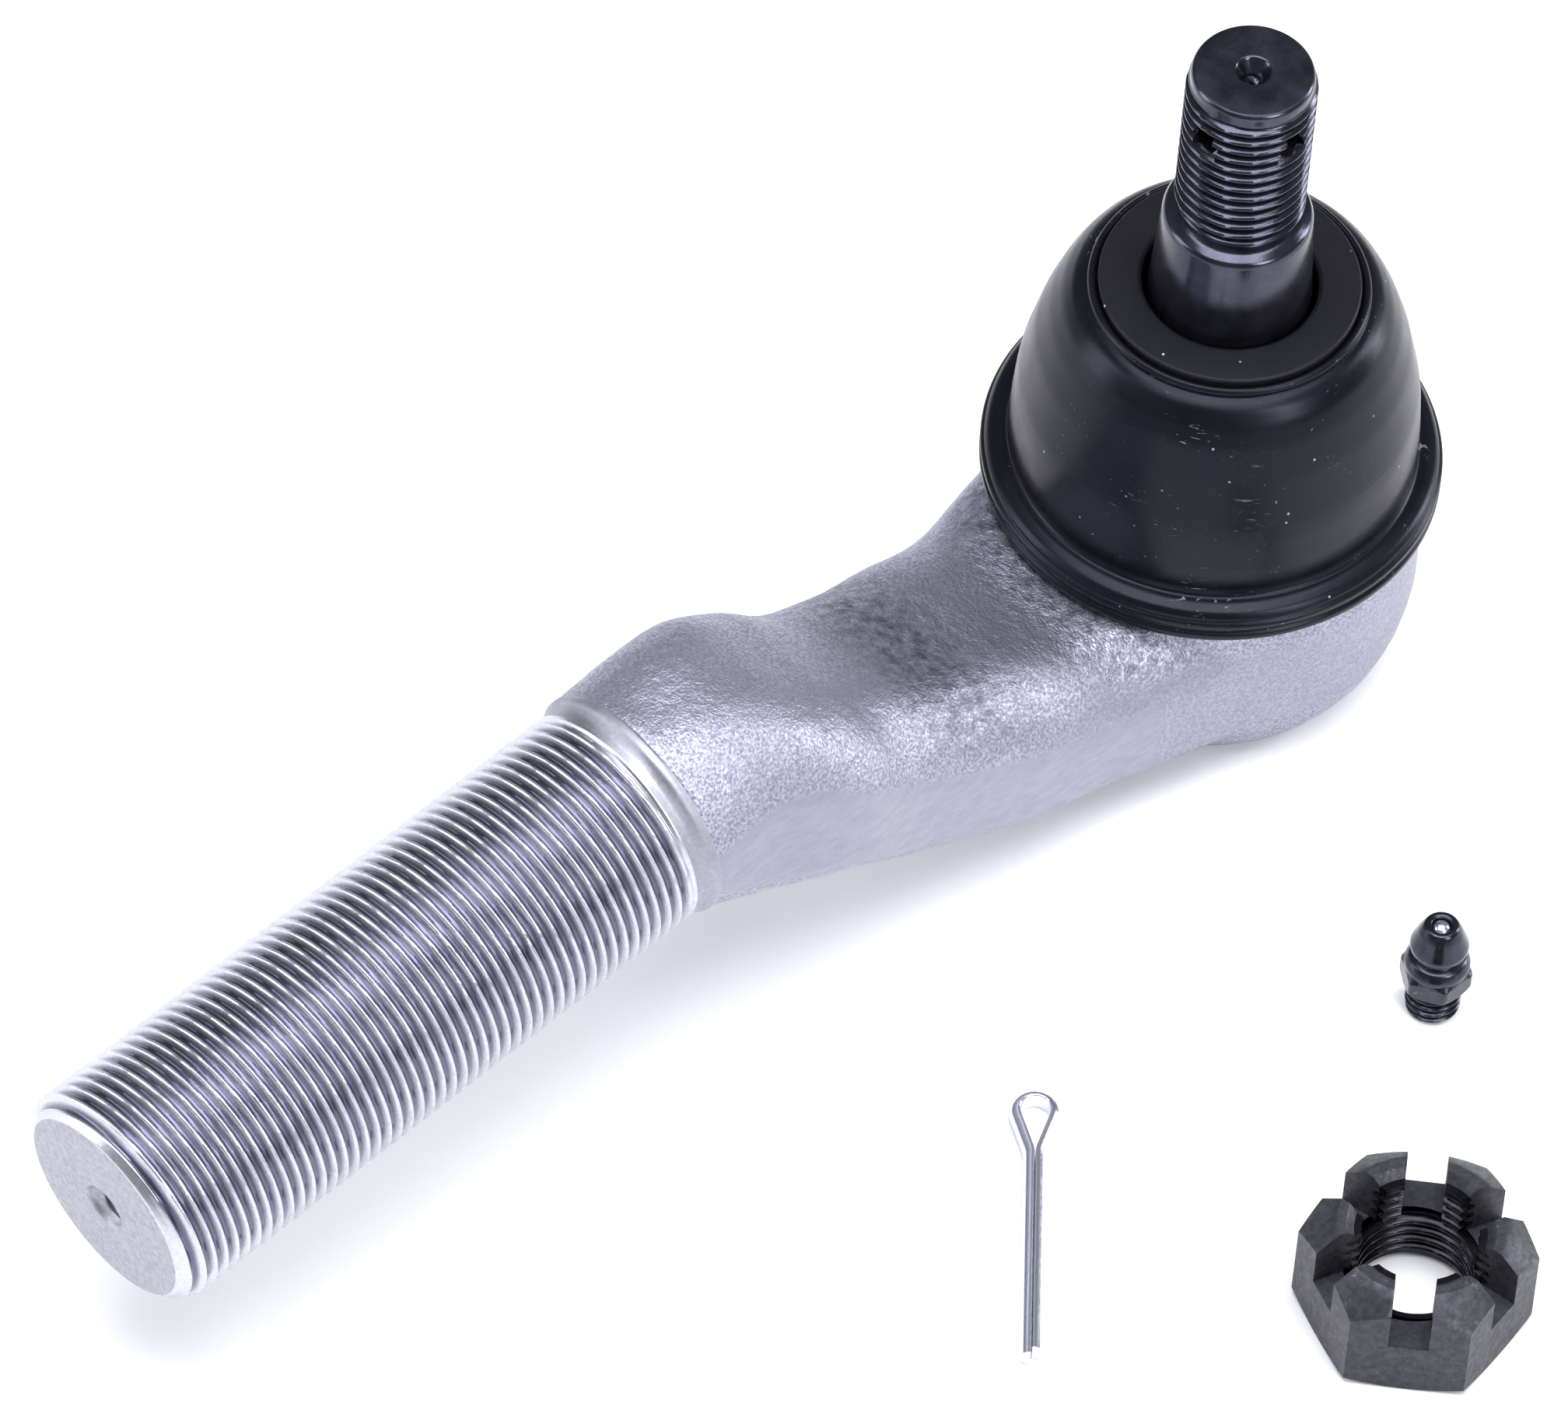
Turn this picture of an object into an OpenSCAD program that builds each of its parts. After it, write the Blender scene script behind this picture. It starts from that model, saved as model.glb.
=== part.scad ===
// Offset tie rod end: forged housing with a threaded shank, sealed ball joint and tapered stud,
// with its castle nut, split pin and grease fitting laid out beside it.
// Millimetres. Origin at the ball centre, +Z up the stud, shank towards -X.

/* [Ball joint] */
// Ball diameter
ball_d = 25; // [22:0.5:27]
// Wall of the thin bearing liner
liner_t = 1.3; // [1:0.1:1.6]
// Running clearance between sliding surfaces
run_gap = 0.05; // [0.02:0.01:0.1]
// Stud neck diameter where it leaves the ball
neck_d = 13; // [12:0.2:15]

/* [Stud] */
// Stud thread major diameter
stud_thread_d = 14; // [12:0.5:16]
// Stud thread pitch
stud_pitch = 1.5; // [1:0.25:2]
// Stud tip height above the ball centre
stud_top = 74; // [66:1:82]
// Threaded length from the tip
stud_thread_len = 20.4; // [16:0.2:24]
// Small end diameter of the taper
taper_d = 16.06; // [15.5:0.02:17]
// Height where the taper starts, at its small end
taper_top = 51; // [48:0.5:54]
// Height where the taper ends, at its large end
taper_bottom = 32; // [28:0.5:36]
// Taper ratio: length for each unit of diameter
taper_ratio = 8; // [6:0.5:16]
// Split pin hole diameter
pin_hole_d = 3.2; // [2.5:0.1:4]
// Split pin hole distance below the tip
pin_hole_drop = 6.4; // [5:0.2:9]

/* [Housing cup] */
// Cup outside diameter
cup_d = 46.8; // [44:0.2:50]
// Bore that holds the bearings
bore_d = 31.2; // [30:0.2:33]
// Boot seat height above the ball centre
seat_z = 9.2; // [8:0.2:11]
// Underside of the cup below the ball centre
cup_base = 16.2; // [15:0.2:19]
// Boot spigot diameter
spigot_d = 37.2; // [36:0.2:39]
// Boot spigot height above the boot seat
spigot_h = 2.8; // [2:0.1:3.5]

/* [Shank] */
// Shank thread major diameter
shank_d = 26; // [22:0.5:30]
// Shank thread pitch
shank_pitch = 1.5; // [1:0.25:2]
// Distance from the stud axis to the shank end, along the shank
shank_reach = 158.2; // [140:1:175]
// Length from the collar to the shank end
shank_len = 72.5; // [60:0.5:80]
// Threaded length from the shank end
shank_thread_len = 70.6; // [50:0.2:72]
// Downward slope of the shank in degrees
shank_slope = 5.5; // [0:0.5:8]
// Height of the shank axis above the ball centre, where it crosses the stud axis
shank_rise = 27.6; // [20:0.2:32]

/* [Dust boot] */
// Boot flange diameter
boot_flange_d = 49.8; // [48:0.2:52]
// Boot height from its seat to the top washer
boot_h = 30.8; // [28:0.2:33]
// Boot wall
boot_wall = 1.8; // [1.4:0.1:2.4]
// Hole in the boot top washer
boot_hole_d = 18.7; // [18.3:0.1:20]
// Boot top rim diameter
boot_rim_d = 30.4; // [28:0.2:32]

/* [Castle nut] */
// Width across flats
nut_af = 22; // [19:0.5:25]
// Overall height
nut_h = 14; // [12:0.2:18]
// Slot width
nut_slot_w = 4.3; // [3.5:0.1:5]
// Slot depth
nut_slot_depth = 6.8; // [5:0.2:9]

/* [Split pin] */
// Width across both legs
split_pin_d = 2.3; // [1.8:0.1:3]
// Overall length
split_pin_len = 34.8; // [28:0.2:45]
// Width of the eye
split_pin_eye_w = 5.6; // [4.5:0.1:7]

/* [Grease fitting] */
// Fitting thread diameter
fitting_thread_d = 6; // [5:0.1:8]
// Fitting thread pitch
fitting_pitch = 1; // [0.75:0.25:1.25]
// Fitting height
fitting_h = 14; // [12:0.2:16]
// Fitting hexagon across flats
fitting_af = 7; // [6:0.5:9]

/* [Hidden] */
$fn = 96;

forged = [0.62, 0.62, 0.66];
steel = [0.75, 0.75, 0.78];
black_steel = [0.16, 0.16, 0.18];
rubber = [0.08, 0.08, 0.09];
polymer = [0.85, 0.83, 0.75];
zinc = [0.82, 0.83, 0.86];

ball_r = ball_d / 2;
race_r = ball_r + liner_t + run_gap;
bore_r = bore_d / 2;
neck_r = neck_d / 2;
floor_z = -cup_base;
bearing_top = 7.9;
seat_top = -6;
seat_bottom = -10.2;
plate_top = -12.8;
plate_t = 1.6;
plate_r = 16.2;

check_ball_r = 1.25;
mouth_r = 1.05;
ball_bore_r = 1.32;
check_ball_z = fitting_h - 0.52 - sqrt(check_ball_r * check_ball_r - mouth_r * mouth_r);
spring_low = 4.2;

// layout of the loose parts on the surface the cup stands on
nut_at = [-46.9, -83, floor_z];
nut_turn = 11.6;
pin_at = [-82.7, -62.6, floor_z];
pin_turn = 46.2;
fitting_at = [-17.6, -55.7, floor_z];

function taper_r(z) = taper_d / 2 + (taper_top - z) / taper_ratio / 2;

// points [r, z] of one side of a thread cut as rings, from z0 up to z1
function thread_points(r, pitch, z0, z1) =
    let (n = floor((z1 - z0) / pitch), d = 0.6134 * pitch)
    [for (i = [0 : n - 1], s = [0 : 3])
        [s == 0 || s == 3 ? r : r - d, z0 + pitch * (i + [0.0625, 0.375, 0.625, 0.9375][s])]];

// the same for the wall of a threaded hole, the grooves cut outwards from the minor radius
function bore_thread_points(r, pitch, z0, z1) =
    let (n = floor((z1 - z0) / pitch), d = 0.5413 * pitch)
    [for (i = [0 : n - 1], s = [0 : 3])
        [s == 0 || s == 3 ? r - d : r, z0 + pitch * (i + [0.125, 0.4375, 0.5625, 0.875][s])]];

module along_shank() {
    translate([0, 0, shank_rise]) rotate([0, -90 - shank_slope, 0]) children();
}

// one thin slice of the forged arm, its middle at x, z
module arm_slice(x, z, half_w, half_h, corner) {
    translate([x, 0, z]) rotate([0, -90, 0]) linear_extrude(0.2)
        offset(r = corner, $fn = 24)
            square([2 * (half_h - corner), 2 * (half_w - corner)], center = true);
}

// sections of the arm from the collar to the cup: x, z, half width, half height, corner
arm = [[-84, 20, 13.3, 13.5, 12.8],
       [-74, 18.6, 13.6, 13.5, 9.5],
       [-66, 16, 14.6, 12.4, 8.5],
       [-58, 10.4, 14.3, 11.7, 7.5],
       [-49, 5.6, 14.5, 11, 7.5],
       [-38, 1.5, 15.5, 11, 7.5],
       [-27, -1.3, 16.3, 10.3, 7],
       [-8, -1.6, 19.5, 10.6, 7]];

module cup_outside() {
    rotate_extrude() polygon([
        [0, -cup_base], [17.4, -cup_base], [18.6, -cup_base + 0.4], [20.6, -14.2], [21.9, -11.7],
        [22.8, -9], [cup_d / 2, -6], [cup_d / 2, seat_z - 0.6], [cup_d / 2 - 0.6, seat_z],
        [spigot_d / 2, seat_z], [spigot_d / 2, seat_z + spigot_h - 0.5],
        [spigot_d / 2 - 0.5, seat_z + spigot_h], [0, seat_z + spigot_h]]);
}

module cup_inside() {
    rotate_extrude() polygon([
        [0, -cup_base - 1], [14.4, -cup_base - 1], [14.4, plate_top - plate_t],
        [plate_r, plate_top - plate_t], [plate_r, plate_top], [bore_r, plate_top],
        [bore_r, bearing_top], [12.2, bearing_top], [15.4, seat_z + spigot_h],
        [15.4, seat_z + spigot_h + 1], [0, seat_z + spigot_h + 1]]);
}

module shank() {
    r = shank_d / 2;
    tip = shank_reach;
    base = tip - shank_len;
    thread_low = tip - shank_thread_len;
    thread_high = tip - 1.9;
    along_shank() difference() {
        rotate_extrude() polygon(concat(
            [[0, base - 4], [r + 0.5, base - 4], [r + 0.5, base - 1.9], [r + 0.1, base - 1.6],
             [r + 0.6, base - 1.3], [r + 0.6, base - 0.4], [r + 0.2, base], [r - 0.15, base + 0.7],
             [r - 0.15, thread_low - 0.2], [r, thread_low]],
            thread_points(r, shank_pitch, thread_low, thread_high),
            [[r, thread_high], [r - 1.9, tip], [0, tip]]));
        // centre drill in the end face
        translate([0, 0, tip]) rotate_extrude()
            polygon([[0, -6], [1.25, -5.2], [1.25, -2.6], [2.7, 0], [2.7, 1], [0, 1]]);
    }
}

module housing() {
    color(forged) difference() {
        union() {
            cup_outside();
            for (i = [0 : len(arm) - 2]) hull() {
                arm_slice(arm[i][0], arm[i][1], arm[i][2], arm[i][3], arm[i][4]);
                arm_slice(arm[i + 1][0], arm[i + 1][1], arm[i + 1][2], arm[i + 1][3], arm[i + 1][4]);
            }
            shank();
        }
        cup_inside();
    }
}

module upper_bearing() {
    r_out = bore_r - 0.02;
    color(polymer) difference() {
        translate([0, 0, seat_top + 0.2]) cylinder(r = r_out, h = bearing_top - seat_top - 0.25);
        sphere(r = race_r);
        translate([0, 0, seat_top - 1]) cylinder(r = race_r, h = -seat_top + 1);
    }
}

module bearing_liner() {
    low = -0.139 * ball_r;
    high = 0.292 * ball_r;
    color([0.9, 0.88, 0.8]) difference() {
        intersection() {
            sphere(r = ball_r + liner_t);
            translate([0, 0, low]) cylinder(r = ball_d, h = high - low);
        }
        sphere(r = ball_r + run_gap);
    }
}

module lower_bearing_seat() {
    color(polymer) difference() {
        translate([0, 0, seat_bottom]) cylinder(r = bore_r - 0.1, h = seat_top - seat_bottom);
        sphere(r = ball_r + run_gap);
    }
}

module preload_spring() {
    t = 0.9;
    r_in = 8.8;
    r_out = 14.6;
    drop = seat_bottom - plate_top - t;
    color(steel) rotate_extrude() polygon([
        [r_in, seat_bottom - 0.02], [r_out, seat_bottom - drop], [r_out, plate_top + 0.02],
        [r_in, seat_bottom - t]]);
}

module cover_plate() {
    boss_r = 6.4;
    hole_r = fitting_thread_d / 2 - 0.5413 * fitting_pitch;
    low = -cup_base + 0.2;
    top = plate_top;
    color(steel) rotate_extrude() polygon([
        [hole_r + 0.3, low], [boss_r - 0.4, low], [boss_r, low + 0.4], [boss_r, top - plate_t],
        [plate_r - 0.02, top - plate_t], [plate_r - 0.02, top - 0.02], [hole_r + 0.3, top - 0.02],
        [hole_r, top - 0.3], [hole_r, low + 0.3]]);
}

module dust_boot() {
    top = seat_z + boot_h;
    rim = boot_rim_d / 2;
    flange = boot_flange_d / 2;
    w = boot_wall;
    ring_gap = 0.03;
    color(rubber) difference() {
        rotate_extrude() polygon([
            [spigot_d / 2 + 0.04, seat_z + 0.04], [flange - 0.5, seat_z + 0.04],
            [flange, seat_z + 0.5], [flange, seat_z + 1.2], [flange - 0.35, seat_z + 1.5],
            [flange - 0.35, seat_z + 1.9], [flange, seat_z + 2.2], [flange, seat_z + 2.9],
            [flange - 0.45, seat_z + 3.2], [flange - 0.45, seat_z + 3.5],
            [flange - 0.8, seat_z + 4], [flange - 2, seat_z + 4.4], [flange - 2.6, seat_z + 4.5],
            [21.95, seat_z + 5.2], [21.95, 18], [21.6, 22], [21, 26], [20.1, 30], [18.7, 34],
            [17.6, 36.4], [16.5, 37.8], [15.6, 38.3], [rim - 0.2, 38.5], [rim, 38.9],
            [rim - 0.15, 39.3], [rim - 0.5, 39.5], [rim - 0.9, 39.3], [rim - 1.05, 38.9],
            [rim - 1.1, top - 1.4], [9.35, top - 1.4], [9.35, 34.2], [9.9, 33.6], [13.6, 35.4],
            [16.4, 33.8], [18.7 - w + 0.2, 31.6], [20.1 - w, 28.4], [21 - w, 25], [21.6 - w, 21.5],
            [21.95 - w, 17.6], [21.95 - w, 14.4], [spigot_d / 2 + 0.04, 12.9]]);
        // pockets for the two moulded-in rings
        rotate_extrude() ring_section(20.3, 22.1, 10.3, 12.2, ring_gap);
        rotate_extrude() ring_section(10.8, 13.2, 36, 37.6, ring_gap);
    }
}

module ring_section(r0, r1, z0, z1, grow = 0) {
    translate([r0 - grow, z0 - grow]) square([r1 - r0 + 2 * grow, z1 - z0 + 2 * grow]);
}

module boot_base_ring() {
    color(steel) rotate_extrude() ring_section(20.3, 22.1, 10.3, 12.2);
}

module boot_top_ring() {
    color(steel) rotate_extrude() ring_section(10.8, 13.2, 36, 37.6);
}

module boot_top_washer() {
    top = seat_z + boot_h;
    r0 = boot_hole_d / 2;
    r1 = boot_rim_d / 2 - 1.15;
    color(black_steel) rotate_extrude() polygon([
        [r0 + 0.25, top - 1.38], [r1, top - 1.38], [r1, top - 0.2], [r1 - 0.2, top],
        [r0 + 0.3, top], [r0, top - 0.3], [r0, top - 1.13]]);
}

module ball_stud() {
    r = stud_thread_d / 2;
    neck_z = sqrt(ball_r * ball_r - neck_r * neck_r);
    flat_z = -0.88 * ball_r;
    flat_r = sqrt(ball_r * ball_r - flat_z * flat_z);
    thread_low = stud_top - stud_thread_len;
    thread_high = stud_top - 1.8;
    hole_z = stud_top - pin_hole_drop;
    color(black_steel) difference() {
        union() {
            intersection() {
                sphere(r = ball_r);
                translate([0, 0, flat_z]) cylinder(r = ball_d, h = ball_d);
            }
            rotate_extrude() polygon(concat(
                [[0, 0], [neck_r, 0], [neck_r, neck_z + 5], [neck_r + 0.5, neck_z + 7.5],
                 [taper_r(taper_bottom) - 0.6, taper_bottom - 4.2],
                 [taper_r(taper_bottom), taper_bottom - 2.6],
                 [taper_r(taper_bottom), taper_bottom], [taper_r(taper_top), taper_top],
                 [r - 0.6, taper_top + 1.1], [r - 1.1, taper_top + 1.4],
                 [r - 1.1, thread_low - 0.6], [r, thread_low]],
                thread_points(r, stud_pitch, thread_low, thread_high),
                [[r, thread_high], [r - 0.4, thread_high + 0.3], [r - 0.45, stud_top - 0.4],
                 [r - 0.75, stud_top], [0, stud_top]]));
        }
        // two crossing split pin holes
        for (turn = [0, 90]) translate([0, 0, hole_z]) rotate([0, 90, turn])
            translate([0, 0, -r - 1]) cylinder(d = pin_hole_d, h = 2 * r + 2);
        // centre drill in the tip
        translate([0, 0, stud_top]) rotate_extrude()
            polygon([[0, -4.4], [0.9, -3.8], [0.9, -1.7], [1.95, 0], [1.95, 1], [0, 1]]);
    }
}

module castle_nut() {
    minor_r = stud_thread_d / 2 - 0.5413 * stud_pitch;
    major_r = stud_thread_d / 2;
    corner_r = nut_af / 2 / cos(30);
    thread_z0 = 1;
    thread_z1 = nut_h - 1.2;
    top_r = 8.7;
    color(black_steel) translate(nut_at) rotate([0, 0, nut_turn]) difference() {
        intersection() {
            cylinder(r = corner_r, h = nut_h, $fn = 6);
            // chamfers: shallow under the nut, deep on the crown
            rotate_extrude() polygon([
                [0, 0], [nut_af / 2 - 0.4, 0], [corner_r + 0.2, 1.1], [corner_r + 0.2, nut_h - 3.1],
                [top_r, nut_h], [0, nut_h]]);
        }
        rotate_extrude() polygon(concat(
            [[0, -1], [major_r + 0.3, -1], [major_r + 0.3, 0], [minor_r, thread_z0]],
            bore_thread_points(major_r, stud_pitch, thread_z0, thread_z1),
            [[minor_r, thread_z1], [major_r + 0.4, nut_h], [major_r + 0.4, nut_h + 1],
             [0, nut_h + 1]]));
        for (turn = [30, 90, 150]) rotate([0, 0, turn])
            translate([-corner_r - 1, -nut_slot_w / 2, nut_h - nut_slot_depth])
                cube([2 * corner_r + 2, nut_slot_w, nut_slot_depth + 1]);
    }
}

// half-round wire bent in one sweep: leg, neck, eye, neck, leg. Each station is
// [y, z, angle of the wire's round side]; the flat side faces into the eye
module cotter_pin() {
    r = split_pin_d / 2;
    inner = split_pin_eye_w / 2 - r;
    neck = 5.35;
    spread = asin(inner / neck);
    eye_z = split_pin_len - inner - r;
    gap = 0.06;
    stations = concat(
        [[gap, 0, 0], [gap, eye_z - neck, -spread / 2]],
        [for (i = [0 : 16]) let (a = -spread + i * (180 + 2 * spread) / 16)
            [inner * cos(a), eye_z + inner * sin(a), a]],
        [[-gap, eye_z - neck, 180 + spread / 2], [-gap, 0.7, 180]]);
    around = 10;
    last = len(stations) - 1;
    points = [for (s = stations, j = [0 : around])
        let (b = -90 + j * 180 / around)
            [r * sin(b), s[0] + r * cos(b) * cos(s[2]), s[1] + r * cos(b) * sin(s[2])]];
    sides = [for (i = [0 : last - 1], j = [0 : around])
        let (k = (j + 1) % (around + 1), m = around + 1)
            [i * m + j, i * m + k, (i + 1) * m + k, (i + 1) * m + j]];
    ends = [[for (j = [around : -1 : 0]) j], [for (j = [0 : around]) last * (around + 1) + j]];
    color(zinc) translate(pin_at + [0, 0, r]) rotate([0, 0, pin_turn]) rotate([0, 90, 0])
        polyhedron(points = points, faces = concat(sides, ends), convexity = 8);
}

module grease_fitting_body() {
    r = fitting_thread_d / 2;
    hex_z = 4.6;
    hex_h = 2.7;
    h = fitting_h;
    color(black_steel) translate(fitting_at) difference() {
        union() {
            rotate_extrude() polygon(concat(
                [[0, 0], [r - 0.6, 0], [r, 0.6]],
                thread_points(r, fitting_pitch, 0.6, hex_z - 0.8),
                [[r, hex_z - 0.8], [r - 0.55, hex_z - 0.5], [r - 0.55, hex_z + 0.5],
                 [0, hex_z + 0.5]]));
            intersection() {
                translate([0, 0, hex_z])
                    cylinder(r = fitting_af / 2 / cos(30), h = hex_h, $fn = 6);
                rotate_extrude() polygon([
                    [0, hex_z], [fitting_af / 2 - 0.1, hex_z], [3.95, hex_z + 0.4],
                    [3.95, hex_z + hex_h - 0.5], [3.4, hex_z + hex_h], [0, hex_z + hex_h]]);
            }
            rotate_extrude() polygon([
                [0, hex_z + hex_h - 0.1], [3.6, hex_z + hex_h - 0.1], [3.6, hex_z + hex_h + 0.7],
                [3.1, hex_z + hex_h + 1.6], [2.3, hex_z + hex_h + 1.9], [2.3, hex_z + hex_h + 2.5],
                [3.2, hex_z + hex_h + 3.1], [3.2, hex_z + hex_h + 3.6], [2.35, h - 1.1],
                [1.9, h - 0.2], [1.6, h], [0, h]]);
        }
        // passage, spring bore and the mouth the ball closes
        translate([0, 0, -1]) cylinder(r = 0.9, h = h);
        translate([0, 0, spring_low]) cylinder(r = ball_bore_r, h = h - spring_low - 0.5);
        translate([0, 0, h - 1]) cylinder(r = mouth_r, h = 2);
    }
}

module grease_fitting_ball() {
    color(zinc) translate(fitting_at + [0, 0, check_ball_z]) sphere(r = check_ball_r);
}

// round wire wound into a coil from z0 up to z1
module coil(mean_r, wire_r, z0, z1, turns) {
    around = 8;
    steps = turns * 24;
    rise = (z1 - z0 - 2 * wire_r) / steps;
    points = [for (i = [0 : steps], j = [0 : around - 1])
        let (a = i * 360 / 24, b = j * 360 / around, rr = mean_r + wire_r * cos(b))
            [rr * cos(a), rr * sin(a), z0 + wire_r + i * rise + wire_r * sin(b)]];
    sides = [for (i = [0 : steps - 1], j = [0 : around - 1])
        let (k = (j + 1) % around)
            [i * around + j, (i + 1) * around + j, (i + 1) * around + k, i * around + k]];
    ends = [[for (j = [0 : around - 1]) j],
            [for (j = [around - 1 : -1 : 0]) steps * around + j]];
    polyhedron(points = points, faces = concat(sides, ends), convexity = 8);
}

module grease_fitting_spring() {
    color(steel) translate(fitting_at)
        coil(0.98, 0.2, spring_low + 0.03, check_ball_z - 0.66 * check_ball_r, 6);
}

housing();
upper_bearing();
bearing_liner();
lower_bearing_seat();
preload_spring();
cover_plate();
dust_boot();
boot_base_ring();
boot_top_ring();
boot_top_washer();
ball_stud();
castle_nut();
cotter_pin();
grease_fitting_body();
grease_fitting_ball();
grease_fitting_spring();
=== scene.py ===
"""Looks for the offset tie rod end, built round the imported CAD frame."""

import math

import bmesh
import bpy
import numpy as np
from mathutils import Matrix, Vector, noise


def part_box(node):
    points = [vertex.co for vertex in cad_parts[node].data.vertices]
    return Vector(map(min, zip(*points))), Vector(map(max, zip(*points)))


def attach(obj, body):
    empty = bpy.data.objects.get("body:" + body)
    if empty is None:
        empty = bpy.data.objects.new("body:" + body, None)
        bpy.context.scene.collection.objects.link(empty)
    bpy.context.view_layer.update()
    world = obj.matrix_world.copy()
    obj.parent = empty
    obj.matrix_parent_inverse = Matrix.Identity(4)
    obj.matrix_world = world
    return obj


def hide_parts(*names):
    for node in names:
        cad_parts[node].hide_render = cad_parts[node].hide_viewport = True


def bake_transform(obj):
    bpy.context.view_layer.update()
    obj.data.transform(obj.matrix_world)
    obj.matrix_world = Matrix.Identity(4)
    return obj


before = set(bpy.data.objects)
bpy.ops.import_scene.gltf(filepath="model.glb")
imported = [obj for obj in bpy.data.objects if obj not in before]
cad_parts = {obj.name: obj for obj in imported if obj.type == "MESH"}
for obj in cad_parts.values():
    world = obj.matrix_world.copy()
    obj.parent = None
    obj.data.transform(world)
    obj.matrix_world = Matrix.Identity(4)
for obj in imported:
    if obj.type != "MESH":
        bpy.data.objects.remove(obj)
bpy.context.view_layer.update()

MM = 0.001


# ---------------------------------------------------------------- mesh helpers

def finish_mesh(mesh, sharp_degrees):
    """Smooth shading that breaks at edges sharper than sharp_degrees."""
    mesh.polygons.foreach_set("use_smooth", [True] * len(mesh.polygons))
    mesh.set_sharp_from_angle(angle=math.radians(sharp_degrees))


def new_object(name, mesh, *materials):
    obj = bpy.data.objects.new(name, mesh)
    bpy.context.scene.collection.objects.link(obj)
    for material in materials:
        mesh.materials.append(material)
    return obj


def smoothstep(low, high, value):
    t = np.clip((value - low) / (high - low), 0, 1)
    return t * t * (3 - 2 * t)


def rounded(points, radius, steps=4, closed=False):
    """The same outline with each corner turned into a small arc-like curve."""
    points = [np.array(p, float) for p in points]
    count = len(points)
    result = []
    for i, here in enumerate(points):
        if not closed and i in (0, count - 1):
            result.append(here)
            continue
        before, after = points[i - 1], points[(i + 1) % count]
        a, b = before - here, after - here
        la, lb = np.linalg.norm(a), np.linalg.norm(b)
        cut = min(radius, 0.45 * la, 0.45 * lb)
        start, end = here + a / la * cut, here + b / lb * cut
        for t in np.linspace(0, 1, steps + 1):
            result.append((1 - t) ** 2 * start + 2 * t * (1 - t) * here + t * t * end)
    return result


def resampled(points, step):
    """The outline with no stretch longer than step."""
    result = [points[0]]
    for a, b in zip(points[:-1], points[1:]):
        pieces = max(1, math.ceil(np.linalg.norm(b - a) / step))
        for k in range(1, pieces + 1):
            result.append(a + (b - a) * k / pieces)
    return result


def grid_mesh(name, rows, groove=None):
    """A mesh from rows of points that each close round on themselves. Rows: (n, m, 3) in mm.
    groove, one value for each point, goes along as an attribute."""
    n, m, _ = rows.shape
    vertices = rows.reshape(-1, 3) * MM
    i, j = np.meshgrid(np.arange(n - 1), np.arange(m), indexing="ij")
    k, i2 = (j + 1) % m, i + 1
    faces = np.stack([i * m + j, i * m + k, i2 * m + k, i2 * m + j], -1).reshape(-1, 4)
    mesh = bpy.data.meshes.new(name)
    mesh.from_pydata(vertices.tolist(), [], faces.tolist())
    if groove is not None:
        layer = mesh.attributes.new("groove", "FLOAT", "POINT")
        layer.data.foreach_set("value", groove.ravel().astype(np.float32))
    bm = bmesh.new()
    bm.from_mesh(mesh)
    bmesh.ops.remove_doubles(bm, verts=bm.verts, dist=1e-7)
    bmesh.ops.recalc_face_normals(bm, faces=bm.faces)
    bm.to_mesh(mesh)
    bm.free()
    return mesh


# one thread turn, as shares of half a pitch, and how far its flank is curved
CREST_EDGE, FLANK_WIDTH, FLANK_CURVE = 0.86, 0.62, 0.35


def thread_depth(phase):
    """0 on a thread's crest and 1 in its root, for a phase that counts turns."""
    t = np.abs((phase % 1.0) - 0.5) * 2
    flank = np.clip((CREST_EDGE - t) / FLANK_WIDTH, 0, 1)
    return smoothstep(0.0, 1.0, flank) * FLANK_CURVE + flank * (1 - FLANK_CURVE)


def thread_fade(z0, z1, pitch, height):
    """1 along a thread, easing to 0 over its first and last turn."""
    ease = 0.7 * pitch
    return smoothstep(z0, z0 + ease, height) * (1 - smoothstep(z1 - ease, z1, height))


def turned(name, outline, columns, threads=(), hexagon=None, step=2.0, turn=0.0):
    """A lathe-turned piece. outline: (r, z) in mm. threads: (z0, z1, pitch, depth) each, cut as
    true helices. hexagon: (z0, z1, across_flats), turned by turn degrees."""
    points = resampled(outline, step)
    fine = []
    for a, b in zip(points[:-1], points[1:]):
        fine.append(a)
        for z0, z1, pitch, _ in threads:
            rise = abs(b[1] - a[1])
            in_thread = min(a[1], b[1]) >= z0 - pitch and max(a[1], b[1]) <= z1 + pitch
            if in_thread and rise > 0.05:
                pieces = max(1, round(rise / (pitch / 14)))
                fine += [a + (b - a) * k / pieces for k in range(1, pieces)]
    fine.append(points[-1])
    fine = np.array(fine)
    angle = np.arange(columns) / columns * 2 * math.pi
    radius = np.repeat(fine[:, :1], columns, 1)
    height = np.repeat(fine[:, 1:], columns, 1)
    for z0, z1, pitch, depth in threads:
        fade = thread_fade(z0, z1, pitch, height)
        phase = height / pitch - angle[None, :] / (2 * math.pi)
        inward = np.sign(depth) * np.minimum(radius, abs(depth) * thread_depth(phase) * fade)
        radius = np.where(radius > 0.3, radius - inward, radius)
    if hexagon:
        z0, z1, across = hexagon
        facet = (angle - math.radians(turn) + math.pi / 6) % (math.pi / 3) - math.pi / 6
        flat = (across / 2 / np.cos(facet))[None, :]
        inside = (height >= z0 - 1e-6) & (height <= z1 + 1e-6)
        radius = np.where(inside, np.minimum(radius, flat), radius)
    rows = np.stack([radius * np.cos(angle), radius * np.sin(angle), height], -1)
    # groove: 0 on a thread's crest, 1 in its root; the materials paint shade into the roots from it
    groove = np.zeros_like(radius)
    for z0, z1, pitch, _ in threads:
        fade = thread_fade(z0, z1, pitch, height)
        phase = height / pitch - angle[None, :] / (2 * math.pi)
        groove = np.maximum(groove, fade * thread_depth(phase))
    return grid_mesh(name, rows, groove)


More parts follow.
